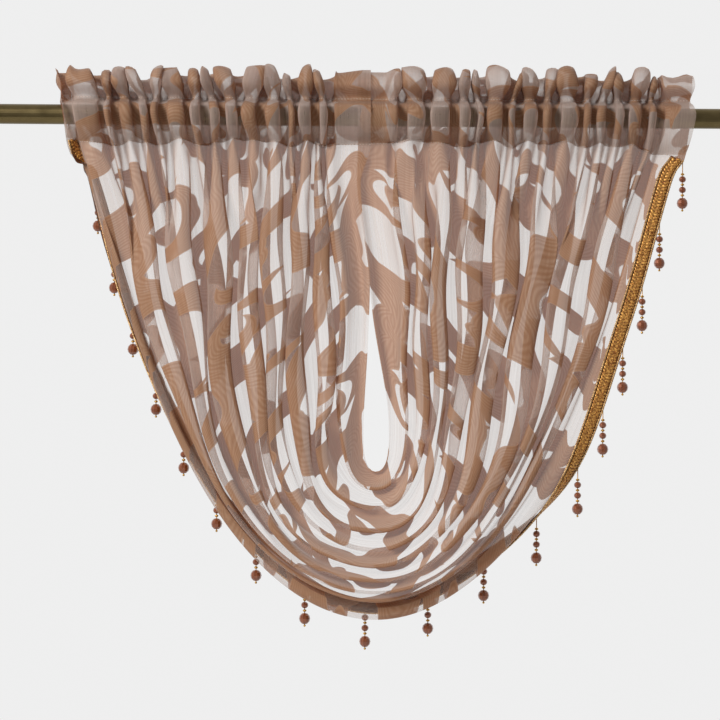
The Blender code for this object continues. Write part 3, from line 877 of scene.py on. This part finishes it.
class Strip:
    """The line along the braid's middle, with the directions across it and off the cloth."""

    def __init__(self, spacing):
        rows = cloth_rows()
        normals = face_normals(rows)
        seam = 2 * CASING_STEPS
        wide = HEM_STEPS // 2
        hem, faces = rows[seam:-seam, -wide - 1 :], normals[seam:-seam, -wide - 1 :]
        middle = hem[:, wide // 2]
        length = run_length(middle)
        self.place = np.arange(0, length[-1], spacing)
        self.middle = points_at(self.place, length, middle)
        self.face = points_at(self.place, length, faces[:, wide // 2])
        self.half = points_at(self.place, length, (hem[:, -1] - hem[:, 0]) / 2)
        self.hem, self.faces = hem, faces

    def line(self, across, out):
        """Points at shares across half the braid, and out from the cloth in metres."""
        across, out = np.reshape(across, (-1, 1)), np.reshape(out, (-1, 1))
        return self.middle + self.half * across + self.face * out


def sweep(path, face, wide, thick, sides):
    """Corners and faces of a strand along a path, oval in section."""
    along = np.gradient(path, axis=0)
    along /= np.linalg.norm(along, axis=1, keepdims=True)
    across = np.cross(along, face)
    across /= np.linalg.norm(across, axis=1, keepdims=True)
    up = np.cross(across, along)
    turns = 2 * np.pi * np.arange(sides) / sides
    rings = (
        path[:, None]
        + across[:, None] * (wide / 2 * np.cos(turns))[None, :, None]
        + up[:, None] * (thick / 2 * np.sin(turns))[None, :, None]
    )
    corner = np.arange(len(path) * sides).reshape(len(path), sides)
    after = np.roll(corner, -1, axis=1)
    quads = np.stack([corner[:-1], after[:-1], after[1:], corner[1:]], axis=-1).reshape(-1, 4)
    ends = [corner[0][::-1].tolist(), corner[-1].tolist()]
    return rings.reshape(-1, 3), quads.tolist() + ends


def joined(name, parts, finish):
    """One object from several lots of corners and faces."""
    corners, faces, start = [], [], 0
    for points, polygons in parts:
        corners.append(points)
        faces += [[start + i for i in polygon] for polygon in polygons]
        start += len(points)
    made = mesh_object(name, np.concatenate(corners), faces)
    made.data.materials.append(finish)
    return made


def trim_piece(name, parts, finish):
    """One piece of the braid or of its drops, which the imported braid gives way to."""
    made = joined(name, parts, finish)
    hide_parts("beaded_braid")
    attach(made, "root")
    return made


def ball(middle, radius, height):
    """Corners and faces of a faceted bead, as rings around a plumb line."""
    down = np.pi * np.arange(1, BEAD_RINGS) / BEAD_RINGS
    turn = 2 * np.pi * np.arange(BEAD_FACETS) / BEAD_FACETS
    around = np.stack([np.cos(turn), np.sin(turn), np.zeros(BEAD_FACETS)], axis=-1)
    rings = radius * np.sin(down)[:, None, None] * around
    rings[..., 2] = height * np.cos(down)[:, None]
    poles = np.array([[0, 0, height], [0, 0, -height]])
    corner = np.arange(rings.shape[0] * BEAD_FACETS).reshape(-1, BEAD_FACETS)
    after = np.roll(corner, -1, axis=1)
    faces = np.stack([corner[:-1], corner[1:], after[1:], after[:-1]], axis=-1).reshape(-1, 4).tolist()
    top = corner.size
    faces += [(top, a, b) for a, b in zip(corner[0].tolist(), after[0].tolist())]
    faces += [(top + 1, b, a) for a, b in zip(corner[-1].tolist(), after[-1].tolist())]
    return middle + np.concatenate([rings.reshape(-1, 3), poles]), faces


class ClothSettings(bpy.types.PropertyGroup):
    """The sheer cloth."""

    ground_cover: bpy.props.FloatProperty(
        name="Ground cover",
        description="Share of the light that the plain ground holds back",
        default=0.31,
        min=0.0,
        max=1.0,
        subtype="FACTOR",
    )
    motif_cover: bpy.props.FloatProperty(
        name="Scroll cover",
        description="Share of the light that the woven scrolls hold back",
        default=0.88,
        min=0.0,
        max=1.0,
        subtype="FACTOR",
    )
    ground_colour: bpy.props.FloatVectorProperty(
        name="Ground",
        description="Colour of the plain ground",
        default=linear("#CDB9AD"),
        size=4,
        subtype="COLOR",
    )
    lit_satin_colour: bpy.props.FloatVectorProperty(
        name="Scrolls",
        description="Colour of the woven scrolls where they catch the light",
        default=linear("#DCB594"),
        size=4,
        subtype="COLOR",
    )


class BraidSettings(bpy.types.PropertyGroup):
    """The gold braid along the hem."""

    plait_period: bpy.props.FloatProperty(
        name="Plait repeat",
        description="Length of one turn of the plait",
        default=0.011,
        unit="LENGTH",
    )
    spacing: bpy.props.FloatProperty(
        name="Step",
        description="Length of one mesh step along the braid",
        default=0.0012,
        unit="LENGTH",
    )


class StageSettings(bpy.types.PropertyGroup):
    """The studio."""

    key_power: bpy.props.FloatProperty(
        name="Main light", description="Power of the large soft light", default=95.0, unit="POWER"
    )
    room_light: bpy.props.FloatProperty(
        name="Room light", description="Strength of the even light all round", default=0.86
    )


class VALANCE_OT_cloth(bpy.types.Operator):
    """Make the sheer cloth, with its casing, frill, folds and hem"""

    bl_idname = "valance.cloth"
    bl_label = "Make the cloth"

    def execute(self, context):
        settings = context.scene.valance_cloth
        rows = cloth_rows()
        flat = flat_places(rows)
        cloth = grid_object("sheer_cloth", rows, flat + (REPEAT_START, 0))
        crowding_and_shade = cloth.data.attributes.new("crowding_and_shade", "FLOAT", "POINT")
        spread = smooth(*BOTTOM_SPREAD, np.abs(flat[..., 1]))
        steep = 1 - np.abs(face_normals(rows)[..., 1])
        seam = np.abs(flat[[2 * CASING_STEPS, -1 - 2 * CASING_STEPS], :, 1]).mean(axis=0)
        gathered = 1 - smooth(0.0, GATHERED_REACH, seam - np.abs(flat[..., 1]))
        # the crowding sets the ground's cover, and also the painted shade on the folds' sides and in
        # the gathers
        crowded_and_shaded = steep * spread - BOTTOM_THIN * (1 - spread) + GATHERED_CROWDING * gathered
        crowding_and_shade.data.foreach_set("value", crowded_and_shaded.ravel())
        colours = tuple(settings.ground_colour), tuple(settings.lit_satin_colour)
        voile = voile_material(settings.ground_cover, settings.motif_cover, *colours)
        cloth.data.materials.append(voile)
        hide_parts("valance_cloth")
        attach(cloth, "root")
        return {"FINISHED"}


class VALANCE_OT_braid(bpy.types.Operator):
    """Make the gold braid"""

    bl_idname = "valance.braid"
    bl_label = "Make the braid"

    def execute(self, context):
        settings = context.scene.valance_braid
        strip = Strip(settings.spacing)
        count = len(strip.place)
        turns = 2 * np.pi * strip.place / settings.plait_period
        plait, cords = [], []
        for strand in range(PLAIT_STRANDS):
            phase = turns + 2 * np.pi * strand / PLAIT_STRANDS
            out = PLAIT_OUT + PLAIT_RISE * np.sin(2 * phase)
            path = strip.line(PLAIT_REACH * np.sin(phase), out)
            plait.append(sweep(path, strip.face, PLAIT_WIDE, PLAIT_THICK, PLAIT_SIDES))
        for edge in (-CORD_AT, CORD_AT):
            for ply in (0, np.pi):
                twist = 2 * np.pi * strip.place / CORD_TWIST_LONG + ply
                out = CORD_OUT + CORD_RISE * np.sin(twist)
                path = strip.line(edge + CORD_TWIST * np.cos(twist), out)
                cords.append(sweep(path, strip.face, CORD_THICK, CORD_THICK, CORD_SIDES))
        middle = strip.line(np.zeros(count), np.full(count, BACKING_OUT))
        backing = [sweep(middle, strip.face, BACKING_WIDE, BACKING_THICK, BACKING_SIDES)]
        gold = yarn_material("metallised gold plait yarn", "#80430F", "#EDB25C")
        brown = yarn_material("brown braid backing yarn", "#3A1D0B", "#7C4718")
        pale = yarn_material("metallised pale gold cord", "#8A5A2A", "#E6C088")
        trim_piece("gold_braid", plait, gold)
        trim_piece("braid_backing", backing, brown)
        trim_piece("braid_edge_cords", cords, pale)
        return {"FINISHED"}


class VALANCE_OT_drops(bpy.types.Operator):
    """Make the bead drops"""

    bl_idname = "valance.drops"
    bl_label = "Make the bead drops"

    def execute(self, context):
        strip = Strip(context.scene.valance_braid.spacing)
        outer, middle = strip.hem[:, -1], strip.hem[:, HEM_STEPS // 4]
        edge = (outer + (middle - outer) * DROP_INSET + strip.faces[:, -1] * DROP_OUT)[::-1]
        wanted = FIRST_DROP + DROP_SPACING * np.arange(DROP_COUNT)
        roots = points_at(wanted, run_length(edge), edge)
        threads, beads, golds = [], [], []
        plumb = np.outer(np.linspace(0, TIP, THREAD_POINTS), (0, 0, -1))
        towards_room = np.tile([0.0, -1.0, 0.0], (THREAD_POINTS, 1))
        for root in roots:
            thick = 2 * THREAD_RADIUS
            threads.append(sweep(root + plumb, towards_room, thick, thick, THREAD_SIDES))
            for below in SMALL_BEADS:
                beads.append(ball(root - (0, 0, below), SMALL_BEAD_RADIUS, SMALL_BEAD_HEIGHT))
            beads.append(ball(root - (0, 0, BIG_BEAD), BIG_BEAD_RADIUS, BIG_BEAD_HEIGHT))
            for below in SPACERS:
                golds.append(ball(root - (0, 0, below), SPACER_RADIUS, SPACER_HEIGHT))
            golds.append(ball(root - (0, 0, TIP), TIP_RADIUS, TIP_RADIUS))
        colours = ("#A87B32", "#D9AE62")
        gold = metal_material("polished gold spacer", colours, (0.22, 0.38), SPACER_GRAIN)
        trim_piece("drop_threads", threads, yarn_material("gold bead thread", "#8A5A2A", "#D9A552"))
        faceted = trim_piece("copper_beads", beads, bead_material())
        faceted.data.shade_flat()
        trim_piece("gold_spacers", golds, gold)
        return {"FINISHED"}


class VALANCE_OT_stitches(bpy.types.Operator):
    """Make the stitches of the casing's two seams"""

    bl_idname = "valance.stitches"
    bl_label = "Make the stitches"

    def execute(self, context):
        rows = cloth_rows()
        normals = face_normals(rows)
        top = len(CASING) - 1
        stitched = 2 * CASING_STEPS - round(CASING_STEPS * STITCH_STATION / top)
        parts = []
        for row in (stitched, 2 * CASING_STEPS, -1 - stitched, -1 - 2 * CASING_STEPS):
            line = rows[row] + normals[row] * STITCH_RADIUS
            length = run_length(line)
            for start in np.arange(0, length[-1] - STITCH_LONG, STITCH_PITCH):
                along = start + STITCH_LONG * np.array([0, 0.5, 1])
                path, face = points_at(along, length, line), points_at(along, length, normals[row])
                parts.append(sweep(path, face, 2 * STITCH_RADIUS, 2 * STITCH_RADIUS, STITCH_SIDES))
        made = joined("seam_stitches", parts, thread_material())
        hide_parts("valance_cloth")
        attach(made, "root")
        return {"FINISHED"}


class VALANCE_OT_rod(bpy.types.Operator):
    """Make the curtain rod"""

    bl_idname = "valance.rod"
    bl_label = "Make the rod"

    def execute(self, context):
        colours = ("#5B4E33", "#7D6E4C")
        bronze = metal_material("antique bronze rod, brushed", colours, (0.28, 0.44), ROD_GRAIN)
        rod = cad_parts["curtain_rod"]
        rod.data.materials.clear()
        rod.data.materials.append(bronze)
        return {"FINISHED"}


class VALANCE_OT_stage(bpy.types.Operator):
    """Make the floor, the lights and the camera"""

    bl_idname = "valance.stage"
    bl_label = "Make the stage"

    def execute(self, context):
        settings = context.scene.valance_stage
        scene = context.scene
        floor_mesh = bpy.data.meshes.new("floor")
        shape = bmesh.new()
        bmesh.ops.create_grid(shape, x_segments=1, y_segments=1, size=FLOOR_HALF)
        shape.to_mesh(floor_mesh)
        shape.free()
        floor = bpy.data.objects.new("floor", floor_mesh)
        floor.location = (0, 0, FLOOR_HEIGHT)
        made, tree, output = new_material("pale matt floor")
        look = {"Base Color": linear("#DCDCDA"), "Roughness": 0.8}
        paint = add(tree, "ShaderNodeBsdfPrincipled", look)
        tree.links.new(paint.outputs[0], output.inputs[0])
        floor_mesh.materials.append(made)

        key = bpy.data.lights.new("large soft light", "AREA")
        key.energy = settings.key_power
        key.shape = "SQUARE"
        key.size = LAMP_SIZE
        lamp = bpy.data.objects.new("large soft light", key)
        lamp.location = LAMP_PLACE
        lamp.rotation_euler = (LAMP_AIM - lamp.location).to_track_quat("-Z", "Y").to_euler()

        world = scene.world or bpy.data.worlds.new("pale studio")
        scene.world = world
        world.use_nodes = True
        sky_tree = world.node_tree
        sky_tree.nodes.clear()
        way = add(sky_tree, "ShaderNodeTexCoord").outputs["Generated"]
        depth = add(sky_tree, "ShaderNodeSeparateXYZ", {0: way}).outputs[1]
        bright = settings.room_light
        glow = ranged(sky_tree, depth, DIM_SIDE, bright, *DIM_REACH, interpolation_type="SMOOTHSTEP")
        seen = add(sky_tree, "ShaderNodeLightPath").outputs["Is Camera Ray"]
        glow = ranged(sky_tree, seen, glow, bright)
        sky = add(sky_tree, "ShaderNodeBackground", {"Color": (1, 1, 1, 1), "Strength": glow})
        world_output = add(sky_tree, "ShaderNodeOutputWorld")
        sky_tree.links.new(sky.outputs[0], world_output.inputs[0])

        lens = bpy.data.cameras.new("camera")
        lens.lens = CAMERA_LENS
        lens.sensor_width = 36
        camera = bpy.data.objects.new("camera", lens)
        camera.matrix_world = (
            Matrix.Translation(CAMERA_PLACE)
            @ Matrix.Rotation(math.radians(90), 4, "X")
            @ Matrix.Rotation(CAMERA_ROLL, 4, "Z")
        )
        for thing in (floor, lamp, camera):
            scene.collection.objects.link(thing)
        scene.camera = camera
        scene.cycles.transparent_max_bounces = 64
        scene.view_settings.view_transform = "Standard"
        return {"FINISHED"}


class VALANCE_PT_panel(bpy.types.Panel):
    """The valance's pieces"""

    bl_label = "Valance"
    bl_idname = "VALANCE_PT_panel"
    bl_space_type = "VIEW_3D"
    bl_region_type = "UI"
    bl_category = "Valance"

    def draw(self, context):
        for group in ("valance_cloth", "valance_braid", "valance_stage"):
            settings = getattr(context.scene, group)
            for name in settings.__annotations__:
                self.layout.prop(settings, name)
        for operator in OPERATORS:
            self.layout.operator(operator.bl_idname)


OPERATORS = (
    VALANCE_OT_cloth,
    VALANCE_OT_stitches,
    VALANCE_OT_braid,
    VALANCE_OT_drops,
    VALANCE_OT_rod,
    VALANCE_OT_stage,
)
SETTINGS = (ClothSettings, BraidSettings, StageSettings)


def register():
    for made in (*SETTINGS, *OPERATORS, VALANCE_PT_panel):
        bpy.utils.register_class(made)
    bpy.types.Scene.valance_cloth = bpy.props.PointerProperty(type=ClothSettings)
    bpy.types.Scene.valance_braid = bpy.props.PointerProperty(type=BraidSettings)
    bpy.types.Scene.valance_stage = bpy.props.PointerProperty(type=StageSettings)


def unregister():
    del bpy.types.Scene.valance_stage
    del bpy.types.Scene.valance_braid
    del bpy.types.Scene.valance_cloth
    for made in (VALANCE_PT_panel, *reversed(OPERATORS), *reversed(SETTINGS)):
        bpy.utils.unregister_class(made)


def main():
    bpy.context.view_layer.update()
    register()
    bpy.ops.valance.cloth()
    bpy.ops.valance.stitches()
    bpy.ops.valance.braid()
    bpy.ops.valance.drops()
    bpy.ops.valance.rod()
    bpy.ops.valance.stage()
    wide, long = np.ptp(flat_places(cloth_rows()), axis=(0, 1))


if __name__ == "__main__":
    main()
